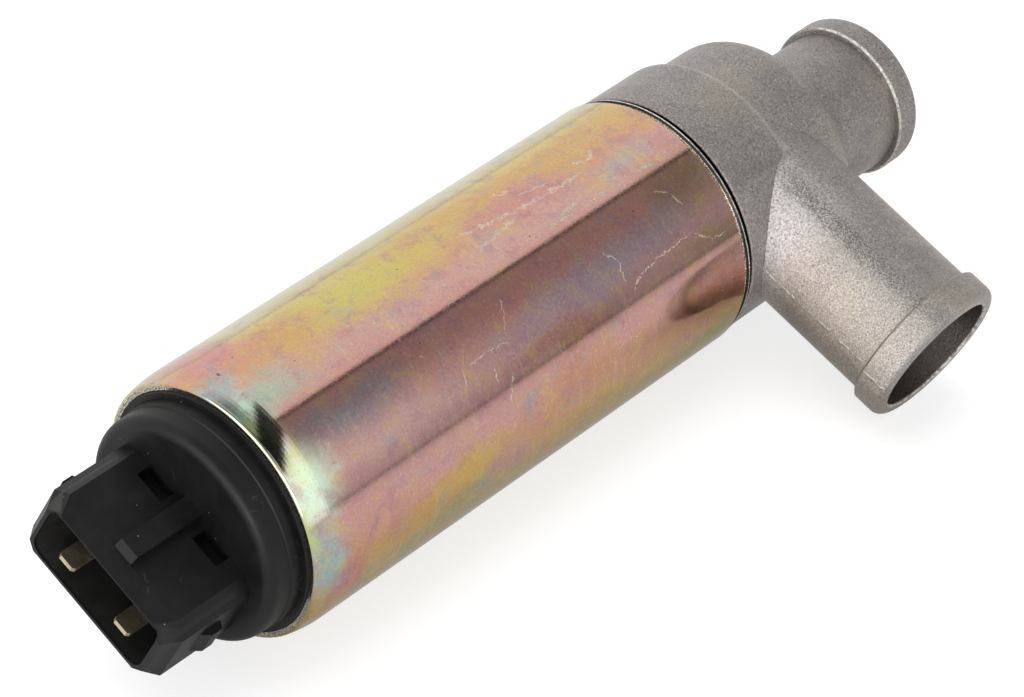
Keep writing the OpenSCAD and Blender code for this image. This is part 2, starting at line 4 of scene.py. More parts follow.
import bmesh
import bpy
from mathutils import Euler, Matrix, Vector


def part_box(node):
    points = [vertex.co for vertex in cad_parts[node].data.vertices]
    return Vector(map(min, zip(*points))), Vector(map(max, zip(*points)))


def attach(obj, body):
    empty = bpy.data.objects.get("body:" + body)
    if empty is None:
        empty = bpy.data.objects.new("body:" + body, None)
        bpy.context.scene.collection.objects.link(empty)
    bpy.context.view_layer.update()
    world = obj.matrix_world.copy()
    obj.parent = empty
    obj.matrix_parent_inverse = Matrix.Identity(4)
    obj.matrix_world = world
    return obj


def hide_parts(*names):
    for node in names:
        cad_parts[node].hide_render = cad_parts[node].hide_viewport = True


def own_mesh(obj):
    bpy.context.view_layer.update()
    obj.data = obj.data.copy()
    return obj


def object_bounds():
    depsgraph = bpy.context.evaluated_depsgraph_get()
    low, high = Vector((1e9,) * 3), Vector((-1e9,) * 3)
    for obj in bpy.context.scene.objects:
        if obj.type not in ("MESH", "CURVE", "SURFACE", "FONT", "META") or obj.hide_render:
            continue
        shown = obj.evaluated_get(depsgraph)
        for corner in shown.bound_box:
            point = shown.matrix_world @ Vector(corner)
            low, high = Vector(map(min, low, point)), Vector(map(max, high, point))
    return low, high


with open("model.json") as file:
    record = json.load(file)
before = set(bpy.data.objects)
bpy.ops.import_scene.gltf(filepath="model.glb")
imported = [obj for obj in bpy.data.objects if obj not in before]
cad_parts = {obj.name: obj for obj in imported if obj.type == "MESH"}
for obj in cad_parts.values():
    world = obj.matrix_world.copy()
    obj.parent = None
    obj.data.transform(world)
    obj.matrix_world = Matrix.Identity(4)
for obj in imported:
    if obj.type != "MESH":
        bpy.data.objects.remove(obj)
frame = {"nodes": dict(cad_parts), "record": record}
nodes = frame["nodes"]
cad_box = [list(corner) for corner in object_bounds()]

FLOOR_Z = min(corner[2] for corner in cad_box)

# The camera stands where the photo's circles and edges put it: metres, degrees and mm
CAMERA_AT = (-0.314109, -0.275672, 0.340897)
CAMERA_TURN = (50.8911, -2.1842, -48.1098)
CAMERA_LENS = 145.38

# Turns about the body axis in degrees: the whole valve as it lies, and its header beyond that
LIE_TURN = 19.278
HEADER_TURN = 7.0

# Places in mm along the body axis
HEADER_FRONT_X = -62.9
SOCKET_FLOOR_X = -51.9
CAN_MOUTH_X = -43.3
CAN_END_X = 39.0
CAST_X = 40.05
COLLAR_END_X = 52.95
FAR_BEAD_X = 81.1

# The side tail in mm: its axis, its bead's shoulder and its mouth
SIDE_X = 53.55
SIDE_LIFT = 5.7
SIDE_BEAD_Y = -36.2
SIDE_MOUTH_Y = -40.9

# Radii in mm
CAN_BORE_R = 17.5
COLLAR_R = 18.1
TAIL_BORE_R = 9.15

MM_PER_DEGREE = 0.3229  # round the can's surface
BRIGHT_METAL = (250, 246, 238)
DEGREES_IN_RADIAN = math.degrees(1.0)


# ---------------------------------------------------------------- node helpers
def linear(red, green, blue):
    """A screen colour from 0 to 255 as the linear colour that a shader takes."""
    def one(value):
        value /= 255
        return value / 12.92 if value <= 0.04045 else ((value + 0.055) / 1.055) ** 2.4
    return (one(red), one(green), one(blue), 1.0)


class Graph:
    """Short calls for building a shader's node tree. Values may be numbers or other nodes' outputs."""

    def __init__(self, tree):
        self.tree = tree
        tree.nodes.clear()

    def add(self, kind, **settings):
        node = self.tree.nodes.new(kind)
        for key, value in settings.items():
            setattr(node, key, value)
        return node

    def put(self, node, key, value):
        """Links or sets one input, found by its name or number."""
        if isinstance(value, bpy.types.NodeSocket):
            self.tree.links.new(value, node.inputs[key])
        else:
            node.inputs[key].default_value = value

    def fill(self, node, *values):
        """Links or sets a node's first inputs, and gives the node back."""
        for index, value in enumerate(values):
            self.put(node, index, value)
        return node

    def math(self, operation, *values):
        return self.fill(self.add("ShaderNodeMath", operation=operation), *values).outputs[0]

    def product(self, first, *others):
        for other in others:
            first = self.math("MULTIPLY", first, other)
        return first

    def scaled(self, value, factor, base):
        """base plus factor times value."""
        return self.math("ADD", base, self.math("MULTIPLY", value, factor))

    def vector(self, operation, *values):
        return self.fill(self.add("ShaderNodeVectorMath", operation=operation), *values).outputs["Vector"]

    def measure(self, operation, *vectors):
        """A number from vectors: their LENGTH or DOT_PRODUCT."""
        return self.fill(self.add("ShaderNodeVectorMath", operation=operation), *vectors).outputs["Value"]

    def split(self, vector):
        return self.fill(self.add("ShaderNodeSeparateXYZ"), vector).outputs

    def turned(self, vector, degrees):
        """The vector turned about the body axis."""
        node = self.add("ShaderNodeVectorRotate", rotation_type="X_AXIS")
        self.put(node, "Vector", vector)
        self.put(node, "Angle", math.radians(degrees))
        return node.outputs["Vector"]

    def angle(self, across, up):
        """The angle in degrees from up towards across."""
        return self.math("MULTIPLY", self.math("ARCTAN2", across, up), DEGREES_IN_RADIAN)

    def step(self, value, low, high, out_low=0.0, out_high=1.0):
        """A smooth change from out_low to out_high as value goes from low to high."""
        node = self.add("ShaderNodeMapRange", interpolation_type="SMOOTHSTEP")
        return self.fill(node, value, low, high, out_low, out_high).outputs[0]

    def fade(self, value, full, gone, strength=1.0):
        """strength where value is below full, and nothing where it is above gone."""
        return self.step(value, full, gone, strength, 0.0)

    def near(self, value, middle, full, gone, strength=1.0):
        """strength within full of middle, and nothing farther off than gone."""
        return self.fade(self.math("ABSOLUTE", self.math("SUBTRACT", value, middle)), full, gone, strength)

    def noise(self, vector, scale, detail=3.0, roughness=0.5, distortion=0.0, output="Fac"):
        node = self.add("ShaderNodeTexNoise")
        for key, value in (("Vector", vector), ("Scale", scale), ("Detail", detail),
                           ("Roughness", roughness), ("Distortion", distortion)):
            self.put(node, key, value)
        return node.outputs[output]

    def wander(self, vector, reach, *noise_settings):
        """A small shift that changes from place to place, up to half of reach either way."""
        color = self.noise(vector, *noise_settings, output="Color")
        return self.vector("MULTIPLY", self.vector("SUBTRACT", color, (0.5, 0.5, 0.5)), reach)

    def ramp(self, value, *stops):
        """Screen colours along a value, from stops of a value and a colour."""
        node = self.add("ShaderNodeValToRGB")
        ramp = node.color_ramp
        while len(ramp.elements) < len(stops):
            ramp.elements.new(0.5)
        for element, (place, color) in zip(ramp.elements, stops):
            element.position = place
            element.color = linear(*color)
        self.put(node, "Fac", value)
        return node.outputs["Color"]

    def mix(self, factor, color, other):
        """color with a share of other, which is a screen colour or another node's output."""
        node = self.add("ShaderNodeMix", data_type="RGBA")
        self.put(node, 0, factor)
        self.put(node, 6, color)
        self.put(node, 7, other if isinstance(other, bpy.types.NodeSocket) else linear(*other))
        return node.outputs[2]

    def bump(self, height, strength, distance):
        node = self.add("ShaderNodeBump")
        for key, value in (("Strength", strength), ("Distance", distance), ("Height", height)):
            self.put(node, key, value)
        return node.outputs["Normal"]


def material(name, build):
    """A material of one shader, which build fills in from the place on the valve in mm."""
    made = bpy.data.materials.new(name)
    made.use_nodes = True
    graph = Graph(made.node_tree)
    shader = graph.add("ShaderNodeBsdfPrincipled")
    output = graph.add("ShaderNodeOutputMaterial")
    made.node_tree.links.new(shader.outputs[0], output.inputs[0])
    place = graph.add("ShaderNodeTexCoord").outputs["Object"]
    build(graph, shader, graph.vector("MULTIPLY", place, (1000.0, 1000.0, 1000.0)))
    return made


def scratches(graph, place, scale, width, cover, seed):
    """Thin curved scratch marks: the level lines of a noise, shown only in scattered places."""
    moved = graph.vector("ADD", place, (seed, seed * 1.7, seed * 0.6))
    thin = graph.near(graph.noise(moved, scale, 2.5, 0.55, 0.4), 0.5, 0.0, width)
    where = graph.step(graph.noise(moved, scale * 0.7, 2.0), cover, cover + 0.06)
    broken = graph.step(graph.noise(moved, scale * 9.0, 1.0), 0.42, 0.55)
    return graph.product(thin, where, broken)


def specks(graph, place, scale, size, share):
    """Small round specks in a share of the cells of a Voronoi pattern."""
    cells = graph.add("ShaderNodeTexVoronoi")
    graph.put(cells, "Vector", place)
    graph.put(cells, "Scale", scale)
    dot = graph.fade(cells.outputs["Distance"], size * 0.5, size)
    chance = graph.fill(graph.add("ShaderNodeSeparateColor"), cells.outputs["Color"]).outputs[0]
    return graph.product(dot, graph.math("LESS_THAN", chance, share))


def after(graph, vector, earlier):
    """The same vector, but worked out only after an earlier value, which keeps the shader's stack small."""
    return graph.vector("MULTIPLY_ADD", earlier, (1e-7, 1e-7, 1e-7), vector)


def oval(graph, flat, middle, turn, reach):
    """Distance from an oval's middle on flat coordinates, counted so that it is 1 on its outline."""
    node = graph.add("ShaderNodeMapping", vector_type="TEXTURE")
    for key, value in (("Vector", flat), ("Location", (*middle, 0.0)), ("Rotation", (0.0, 0.0, turn)),
                       ("Scale", (*reach, 1.0))):
        graph.put(node, key, value)
    return graph.measure("LENGTH", node.outputs["Vector"])


def strokes(graph, flat, lines, width):
    """Distance from listed lines on the can, each a chain of thin ovals, 1 on their outline."""
    nearest = None
    for line in lines:
        points = [(along, turn * MM_PER_DEGREE) for along, turn in line]
        spot = flat
        for start, end in zip(points, points[1:]):
            if nearest is not None:
                spot = after(graph, spot, nearest)
            along, across = end[0] - start[0], end[1] - start[1]
            middle = ((start[0] + end[0]) / 2, (start[1] + end[1]) / 2)
            reach = (math.hypot(along, across) * 0.62, width)
            distance = oval(graph, spot, middle, math.atan2(across, along), reach)
            nearest = distance if nearest is None else graph.math("MINIMUM", nearest, distance)
    return nearest


# ---------------------------------------------------------------- the can
# Colours round the can's body: angle and colour
CAN_ROUND = [
    (-180, (188, 150, 96)), (-140, (158, 134, 76)), (-112, (184, 156, 88)), (-98, (202, 164, 106)),
    (-86, (204, 154, 124)), (-72, (206, 158, 152)), (-50, (202, 156, 150)), (-30, (208, 150, 140)),
    (-14, (208, 166, 156)), (-2, (214, 166, 134)), (9, (214, 178, 122)), (22, (216, 190, 132)),
    (33, (214, 208, 160)), (60, (204, 212, 176)), (110, (200, 190, 130)), (150, (202, 160, 128)),
]

# Patches on the can: place along it, angle round it, half length, half angle, colour, strength
CAN_PATCHES = [
    (-17.0, 10.0, 17.0, 13.0, (212, 198, 112), 1.0),
    (2.0, 15.0, 9.0, 8.0, (212, 186, 112), 0.8),
    (-31.0, 9.0, 7.0, 10.0, (214, 164, 116), 0.9),
    (16.0, 16.0, 20.0, 9.0, (214, 170, 112), 0.8),
    (20.0, 24.0, 14.0, 6.0, (216, 196, 122), 0.7),
    (13.0, -1.0, 8.0, 8.0, (204, 146, 148), 0.7),
    (-14.0, -11.0, 4.0, 6.0, (190, 150, 160), 0.5),
    (29.0, -13.0, 4.5, 6.0, (172, 176, 168), 0.65),
    (-38.0, 24.0, 5.0, 22.0, (216, 146, 146), 0.9),
    (-37.0, -12.0, 5.0, 7.0, (178, 196, 176), 0.85),
    (-38.0, -96.0, 2.5, 13.0, (202, 118, 124), 0.9),
    (-41.5, -84.0, 3.5, 16.0, (160, 188, 186), 0.95),
    (-25.0, -92.0, 9.0, 7.0, (200, 160, 92), 0.9),
    (-15.0, -85.0, 5.5, 8.0, (206, 174, 92), 0.9),
    (-20.0, -105.0, 11.0, 7.0, (168, 160, 100), 0.9),
    (-12.0, -100.0, 2.5, 5.0, (160, 166, 140), 0.7),
    (-8.0, -94.0, 2.5, 8.0, (190, 146, 146), 0.6),
    (-5.0, -77.0, 1.6, 4.0, (160, 156, 160), 0.7),
    (7.0, -76.0, 6.0, 8.0, (204, 150, 104), 0.7),
    (10.0, -103.0, 8.0, 6.0, (190, 156, 90), 0.6),
    (31.0, -109.0, 6.0, 5.0, (150, 160, 72), 0.9),
    (14.0, -46.0, 16.0, 9.0, (176, 160, 172), 0.75),
    (26.0, -40.0, 8.0, 7.0, (166, 150, 160), 0.6),
    (34.5, -34.0, 6.0, 12.0, (164, 142, 108), 0.75),
    (35.0, -61.0, 6.0, 5.0, (172, 150, 104), 0.7),
    (35.0, -82.0, 6.0, 8.0, (184, 120, 98), 0.6),
    (6.0, -60.0, 10.0, 4.0, (178, 124, 100), 0.6),
    (-31.0, -36.0, 9.0, 7.0, (158, 156, 166), 0.8),
    (-24.0, -52.0, 12.0, 6.0, (206, 172, 166), 0.6),
    (5.0, -33.0, 14.0, 7.0, (212, 148, 140), 0.6),
    # The next five rows, round the rolled mouth, are partly the plating's own tint and partly painted highlight:
    # the lip's mint-white and yellow-green shine.
    (-41.2, -52.0, 3.6, 15.0, (216, 240, 214), 1.0),
    (-42.2, -16.0, 3.2, 16.0, (198, 234, 206), 1.0),
    (-42.0, -43.0, 2.0, 6.0, (232, 246, 186), 0.45),
    (-42.3, -20.0, 1.6, 6.0, (232, 242, 156), 0.8),
    (-42.4, -70.0, 1.6, 10.0, (206, 214, 140), 0.8),
    (-42.5, 2.0, 2.5, 8.0, (172, 190, 196), 0.8),
]

# Scratches on the can, as points of place along it and angle round it
CAN_STROKES = [
    ((24.0, -12.6), (25.6, -12.0), (24.4, -15.6), (25.6, -20.0)),
    ((18.2, -59.0), (20.2, -55.6), (23.6, -54.0), (31.0, -53.0), (33.6, -59.4), (36.6, -61.0)),
    ((17.4, -54.6), (17.8, -45.0), (16.0, -39.0)),
    ((-7.2, -70.0), (-6.2, -64.0), (-5.2, -58.6)),
    ((-25.8, -16.8), (-24.2, -19.6), (-22.2, -19.8), (-20.4, -23.4)),
    ((-13.2, -54.0), (-12.4, -47.0)),
    ((-8.2, -60.0), (-7.8, -52.6)),
    ((-11.0, -47.0), (-8.0, -46.4), (-4.0, -48.0)),
    ((-3.6, -44.0), (-2.4, -38.0), (-1.4, -32.0)),
    ((32.0, -42.0), (31.2, -34.0), (29.0, -30.0)),
    ((13.2, 2.6), (15.0, 0.6), (19.0, -1.0)),
]

# Wider scrapes on the can's upper side, drawn the same way
CAN_SCRAPES = [
    ((2.0, -9.8), (4.6, -9.4), (6.6, -8.4), (9.4, -6.8)),
    ((1.6, 0.8), (4.4, -1.2), (7.6, -2.6), (11.0, -4.4), (14.6, -5.0), (23.0, -6.2)),
    ((23.4, 0.8), (25.0, -2.0), (26.4, -2.2), (27.4, 2.0)),
    ((11.6, 10.4), (12.2, 7.8), (13.4, 7.0)),
    ((12.0, -20.4), (14.0, -17.2), (19.0, -16.2)),
    ((12.4, -19.0), (17.4, -19.4), (23.6, -18.6)),
    ((-18.8, -15.6), (-18.2, -10.8)),
    ((28.6, -18.6), (33.0, -20.0)),
]


def plated(graph, shader, place):
    """Yellow passivated zinc: colours that drift from mauve through gold to pale green."""
    x, y, z = graph.split(place)
    flat = graph.fill(graph.add("ShaderNodeCombineXYZ"), x, graph.angle(y, z)).outputs["Vector"]
    loose = graph.vector("ADD", flat, graph.wander(place, (13.0, 30.0, 0.0), 0.11, 5.0, 0.68))
    share = graph.fill(graph.add("ShaderNodeMapRange"), graph.split(loose)[1], -180.0, 180.0, 0.0, 1.0)
    color = graph.ramp(share.outputs[0], *[((angle + 180.0) / 360.0, tone) for angle, tone in CAN_ROUND])
    for along, angle, half_length, half_angle, tone, strength in CAN_PATCHES:
        edge = oval(graph, after(graph, loose, color), (along, angle), 0.0, (half_length, half_angle))
        color = graph.mix(graph.fade(edge, 0.15, 1.75, strength), color, tone)

    # Finer drift between mauve, gold and grey, then drawing streaks and the grain
    hue = graph.noise(after(graph, place, color), 0.30, 5.0, 0.68, 0.4)
    color = graph.mix(graph.step(hue, 0.50, 0.66, 0.0, 0.40), color, (178, 128, 148))
    color = graph.mix(graph.fade(hue, 0.34, 0.47, 0.38), color, (212, 184, 108))
    moved = graph.vector("ADD", after(graph, place, color), (0.0, 0.0, 60.0))
    cool = graph.noise(moved, 0.22, 5.0, 0.70, 0.4)
    color = graph.mix(graph.step(cool, 0.54, 0.68, 0.0, 0.34), color, (158, 166, 170))
    streaks = graph.noise(graph.vector("MULTIPLY", flat, (0.5, 0.03, 1.0)), 1.4, 4.0, 0.65)
    color = graph.mix(graph.product(graph.step(streaks, 0.52, 0.74), 0.16), color, (236, 222, 170))
    speckle = graph.noise(place, 2.6, 3.0, 0.7)
    color = graph.mix(graph.step(speckle, 0.50, 0.78, 0.0, 0.30), color, (244, 232, 216))
    color = graph.mix(graph.fade(speckle, 0.24, 0.44, 0.34), color, (120, 92, 70))

    # Scratches: scattered ones, the drawn ones and the wider scrapes with torn edges
    wobble = graph.wander(place, (1.1, 1.3, 0.0), 1.3)
    drawn = graph.vector("ADD", graph.vector("MULTIPLY", flat, (1.0, MM_PER_DEGREE, 1.0)), wobble)
    marks = scratches(graph, place, 0.10, 0.005, 0.60, 3.0)
    marks = graph.math("MAXIMUM", marks, graph.fade(strokes(graph, drawn, CAN_STROKES, 0.14), 0.45, 1.0))
    torn = graph.vector("ADD", drawn, graph.vector("MULTIPLY", after(graph, wobble, marks), (1.2, 0.5, 0.0)))
    nearest = strokes(graph, torn, CAN_SCRAPES, 0.36)
    patchy = graph.step(graph.noise(after(graph, drawn, nearest), 2.4, 3.0, 0.7), 0.42, 0.56, 0.15, 1.6)
    broken = graph.step(graph.noise(place, 3.4, 2.0), 0.38, 0.50)
    scraped = graph.product(graph.fade(nearest, 0.40, 1.0), patchy)
    marks = graph.math("MAXIMUM", graph.product(marks, broken), scraped)
    color = graph.mix(graph.product(marks, 0.55), color, (246, 238, 218))

    # Pits, one dark fleck near the mouth, and the bare metal at both ends
    color = graph.mix(graph.product(specks(graph, place, 0.45, 0.08, 0.12), 0.75), color, (96, 70, 46))
    fleck = oval(graph, after(graph, drawn, color), (-39.2, 2.6), 0.3, (0.22, 0.30))
    color = graph.mix(graph.fade(fleck, 0.5, 1.1, 0.8), color, (84, 56, 50))
    from_axis = graph.measure("LENGTH", graph.vector("MULTIPLY", place, (0.0, 1.0, 1.0)))
    mouth = graph.product(graph.fade(x, CAN_MOUTH_X + 0.3, CAN_MOUTH_X + 0.5),
                          graph.fade(from_axis, CAN_BORE_R + 0.05, CAN_BORE_R + 0.25))
    end = graph.step(x, CAN_END_X - 0.34, CAN_END_X - 0.26)
    raw = graph.math("MAXIMUM", mouth, graph.product(end, 0.6))
    bare = graph.ramp(graph.noise(place, 5.5, 3.0, 0.7),
                      (0.38, (70, 62, 50)), (0.50, (160, 150, 132)), (0.62, (246, 244, 230)))
    color = graph.mix(raw, color, bare)

    graph.put(shader, "Base Color", color)
    graph.put(shader, "Metallic", graph.math("SUBTRACT", 1.0, graph.product(end, 0.4)))
    graph.put(shader, "Roughness", graph.math("ADD", graph.scaled(speckle, 0.10, 0.06), graph.product(marks, 0.4)))
    graph.put(shader, "Normal", graph.bump(speckle, 0.16, 0.00003))


# ---------------------------------------------------------------- the other materials
def cast(graph, shader, place):
    """Blasted die-cast aluminium: a sparkling grain, faint stains and the mould's parting line, with painted
    highlights and painted shade on the side tail, the collar's edge, the bores and the joint.
    """
    grain = graph.noise(place, 3.0, 3.0, 0.75)
    fine = graph.noise(place, 6.0, 2.0, 0.6)
    color = graph.ramp(grain, (0.30, (116, 110, 107)), (0.45, (150, 143, 140)),
                       (0.58, (172, 165, 161)), (0.74, (214, 208, 200)))
    stains = graph.noise(place, 0.14, 4.0, 0.6, 0.5)
    color = graph.mix(graph.step(stains, 0.46, 0.72, 0.0, 0.40), color, (130, 120, 120))
    warm = graph.noise(graph.vector("ADD", place, (40.0, 0.0, 0.0)), 0.09, 3.0, 0.6)
    color = graph.mix(graph.step(warm, 0.48, 0.72, 0.0, 0.35), color, (196, 186, 166))

    # Places counted from both axes, with the lying turn taken out: the side tail then points along -Y
    upright = graph.turned(place, -LIE_TURN)
    x, y, z = graph.split(upright)
    from_axis = graph.measure("LENGTH", graph.vector("MULTIPLY", place, (0.0, 1.0, 1.0)))
    off_collar = graph.step(from_axis, COLLAR_R - 0.1, COLLAR_R + 0.2)
    on_tail = graph.fade(y, -18.0, -17.0)

    # The parting line down both flanks of the side tail, with a dark line under it
    wavy = graph.math("SUBTRACT", graph.noise(place, 0.5, 3.0), 0.5)
    level = graph.math("ADD", graph.math("SUBTRACT", z, SIDE_LIFT + 0.55), graph.product(wavy, 1.2))
    flanks = graph.math("MAXIMUM", graph.fade(x, SIDE_X - 9.6, SIDE_X - 8.8),
                        graph.step(x, SIDE_X + 8.8, SIDE_X + 9.6))
    shown = graph.step(graph.noise(place, 0.8, 2.0), 0.42, 0.56, 0.12, 1.0)
    parting = graph.product(graph.near(level, 0.0, 0.05, 0.20), flanks, on_tail, shown)
    color = graph.mix(graph.product(parting, 0.8), color, BRIGHT_METAL)
    under = graph.product(graph.near(level, -0.28, 0.05, 0.22, 0.5), graph.step(flanks, 0.4, 0.6), on_tail)
    color = graph.mix(under, color, (84, 78, 74))

    # Painted light and shade: darker at the far end towards the bottom, darker and browner on the side tail's
    # lower side, and painted highlights where the side tail meets the collar and on its side towards the plug
    # Painted shade: the far end darker towards the bottom.
    far = graph.product(graph.step(x, SIDE_X + 12.0, SIDE_X + 15.0, 0.0, 0.36), graph.fade(z, 0.0, 6.0))
    color = graph.mix(far, color, (98, 91, 88))
    # Painted shade: the side tail's lower side darker and browner.
    low = graph.product(graph.fade(z, SIDE_LIFT - 2.0, SIDE_LIFT + 4.5, 0.60), graph.fade(y, -24.0, -17.0),
                        graph.fade(x, SIDE_X - 2.0, SIDE_X + 3.0))
    color = graph.mix(low, color, graph.ramp(grain, (0.32, (104, 94, 84)), (0.66, (180, 166, 150))))
    # Painted highlight where the side tail meets the collar.
    root_highlight = graph.product(graph.step(y, -24.0, -17.0), graph.fade(y, -9.5, -8.5),
                         graph.fade(x, SIDE_X - 4.5, SIDE_X + 2.5, 0.70), off_collar)
    color = graph.mix(root_highlight, color, graph.ramp(grain, (0.36, (170, 163, 160)), (0.60, (246, 240, 238))))
    # Painted highlight, with a sparkling grain, on the side tail's side towards the plug.
    flank = graph.product(graph.fade(y, -20.0, -17.0), graph.fade(x, SIDE_X - 8.0, SIDE_X + 4.0, 0.42),
                          graph.step(z, SIDE_LIFT - 3.0, SIDE_LIFT + 2.0, 0.15, 1.0))
    bright = graph.ramp(graph.noise(place, 5.0, 3.0, 0.75),
                        (0.38, (126, 120, 114)), (0.50, (190, 184, 176)), (0.61, (255, 252, 244)))
    color = graph.mix(flank, color, bright)

    # Painted reflection: a speckled dark stripe along the side tail's upper side
    angle = graph.angle(graph.math("SUBTRACT", SIDE_X, x), graph.math("SUBTRACT", z, SIDE_LIFT))
    dark_specks = graph.step(graph.noise(place, 5.0, 2.0, 0.6), 0.42, 0.56, 0.75, 0.06)
    band = graph.product(graph.near(angle, 22.0, 2.0, 13.0), graph.step(y, -36.0, -14.0, 0.5, 1.0),
                         graph.step(y, -14.0, -9.0, 1.0, 0.25), off_collar, dark_specks)
    color = graph.mix(band, color, (62, 60, 58))

    # Painted shade inside the bores, and a painted highlight with some wear on the collar's edge
    beside = graph.vector("SUBTRACT", upright, (SIDE_X, 0.0, SIDE_LIFT))
    from_side = graph.measure("LENGTH", graph.vector("MULTIPLY", beside, (1.0, 0.0, 1.0)))
    side_bore = graph.product(graph.fade(from_side, TAIL_BORE_R + 0.15, TAIL_BORE_R + 0.35),
                              graph.fade(y, -24.0, -22.0))
    far_bore = graph.product(graph.fade(from_axis, TAIL_BORE_R + 0.15, TAIL_BORE_R + 0.85),
                             graph.step(x, COLLAR_END_X, COLLAR_END_X + 1.0))
    color = graph.mix(graph.product(graph.math("MAXIMUM", side_bore, far_bore), 0.75), color, (62, 57, 55))
    # Painted highlight, with some wear, along the collar's edge.
    wear_and_sheen = graph.product(graph.near(x, COLLAR_END_X - 0.3, 0.3, 1.0),
                         graph.fade(from_axis, COLLAR_R + 0.05, COLLAR_R + 0.2))
    color = graph.mix(graph.product(wear_and_sheen, 0.35), color, (226, 220, 214))

    # Bright lines at the beads and the side tail's mouth, and painted shade in the joint
    rim = graph.product(graph.near(y, SIDE_BEAD_Y, 0.06, 0.20), graph.step(from_side, 10.6, 10.8))
    mouth = graph.product(graph.fade(from_side, TAIL_BORE_R + 0.21, TAIL_BORE_R + 0.35),
                          graph.fade(y, SIDE_MOUTH_Y + 0.3, SIDE_MOUTH_Y + 0.4))
    far_rim = graph.product(graph.step(from_axis, 10.6, 10.8), graph.near(x, FAR_BEAD_X, 0.06, 0.20))
    rim = graph.math("MAXIMUM", graph.math("MAXIMUM", rim, mouth), far_rim)
    rim = graph.product(rim, graph.step(graph.noise(place, 1.6, 3.0, 0.7), 0.38, 0.58, 0.2, 0.75))
    color = graph.mix(rim, color, BRIGHT_METAL)
    # Painted shade: the casting's edge in the joint painted near black.
    color = graph.mix(graph.fade(x, CAST_X + 0.80, CAST_X + 0.90), color, (24, 22, 20))

    graph.put(shader, "Base Color", color)
    graph.put(shader, "Metallic", 0.9)
    graph.put(shader, "Roughness", graph.scaled(fine, 0.14, 0.22))
    blasted = graph.math("ADD", graph.product(grain, 0.7), graph.product(fine, 0.8))
    relief = graph.math("ADD", blasted, graph.product(parting, 1.2))
    graph.put(shader, "Normal", graph.bump(relief, 0.85, 0.00014))


def moulded(graph, shader, place):
    """Black moulded plastic with a faint sheen, lighter rubbed spots, a few dust specks and painted light inside
    the socket.
    """
    cloudy = graph.noise(place, 0.30, 4.0, 0.6, 0.4)
    fine = graph.noise(place, 5.0, 2.0, 0.6)
    color = graph.ramp(cloudy, (0.3, (15, 15, 15)), (0.7, (24, 23, 23)))

    # The socket's inside is painted lighter, as painted light on its inner walls, most of all at its far end
    x, y, z = graph.split(graph.turned(place, -LIE_TURN - HEADER_TURN))
    socket = graph.product(graph.near(y, 0.0, 11.3, 11.6), graph.near(z, -0.5, 4.9, 5.2),
                           graph.fade(x, SOCKET_FLOOR_X + 0.7, SOCKET_FLOOR_X + 1.1),
                           graph.step(x, HEADER_FRONT_X + 0.2, HEADER_FRONT_X + 0.6),
                           graph.step(y, 4.0, 9.0, 0.30, 1.0))
    color = graph.mix(socket, color, graph.ramp(cloudy, (0.3, (40, 39, 38)), (0.7, (56, 55, 54))))

    # Dust and rubbed marks
    dust = graph.math("MAXIMUM", specks(graph, place, 0.55, 0.05, 0.26), specks(graph, place, 1.1, 0.06, 0.10))
    color = graph.mix(graph.product(dust, 0.8), color, (170, 164, 156))
    smear = scratches(graph, place, 0.25, 0.012, 0.60, 21.0)
    color = graph.mix(graph.product(smear, 0.25), color, (90, 88, 88))
    graph.put(shader, "Base Color", color)
    graph.put(shader, "Specular IOR Level", 0.24)
    graph.put(shader, "Roughness", graph.scaled(cloudy, 0.22, 0.34))
    graph.put(shader, "Normal", graph.bump(graph.math("ADD", fine, cloudy), 0.14, 0.00006))


def ring(graph, shader, place):
    """The joint's ring: only the middle of its rim is bright steel; either side of it is painted shade of the
    gaps, and towards the can a rubbed edge with painted sheen.
    """
    x = graph.split(place)[0]
    grain = graph.noise(place, 3.0, 3.0, 0.7)
    bright = graph.ramp(grain, (0.34, (170, 164, 152)), (0.56, (250, 248, 244)))
    # Painted shade: the ring is dark on both sides of its bright middle, where the gaps lie.
    dark = graph.ramp(grain, (0.3, (26, 23, 20)), (0.7, (66, 60, 54)))
    color = graph.mix(graph.near(x, CAST_X - 0.16, 0.06, 0.12), dark, bright)
    # A rubbed edge with painted sheen towards the can.
    wear_and_sheen = graph.ramp(graph.noise(place, 5.5, 3.0, 0.7), (0.44, (96, 74, 62)), (0.60, (240, 226, 206)))
    graph.put(shader, "Base Color", graph.mix(graph.fade(x, CAST_X - 0.58, CAST_X - 0.50), color, wear_and_sheen))
    graph.put(shader, "Metallic", 0.9)
    graph.put(shader, "Roughness", graph.scaled(grain, 0.15, 0.20))
    graph.put(shader, "Normal", graph.bump(grain, 0.1, 0.00004))


def metal(dark, light, scale, roughness):
    """A plain worked metal, with drawn or turned marks and slight stains."""
    def build(graph, shader, place):
        stains = graph.noise(place, scale * 0.2, 3.0, 0.6)
        lines = graph.noise(graph.vector("MULTIPLY", place, (1.0, 0.15, 0.15)), scale * 3.0, 2.0, 0.6)
        tone = graph.math("ADD", graph.product(stains, 0.6), graph.product(lines, 0.4))
        graph.put(shader, "Base Color", graph.ramp(tone, (0.3, dark), (0.7, light)))
        graph.put(shader, "Metallic", 1.0)
        graph.put(shader, "Roughness", graph.scaled(lines, 0.12, roughness))
        graph.put(shader, "Normal", graph.bump(lines, 0.1, 0.00004))
    return build


def soft(dark, light, roughness):
    """A matt material, rubber or insulating plastic, with a faint mottle."""
    def build(graph, shader, place):
        mottle = graph.noise(place, 0.9, 3.0, 0.6)
        graph.put(shader, "Base Color", graph.ramp(mottle, (0.3, dark), (0.7, light)))
        graph.put(shader, "Roughness", graph.scaled(mottle, 0.15, roughness))
        graph.put(shader, "Normal", graph.bump(mottle, 0.1, 0.00004))
    return build


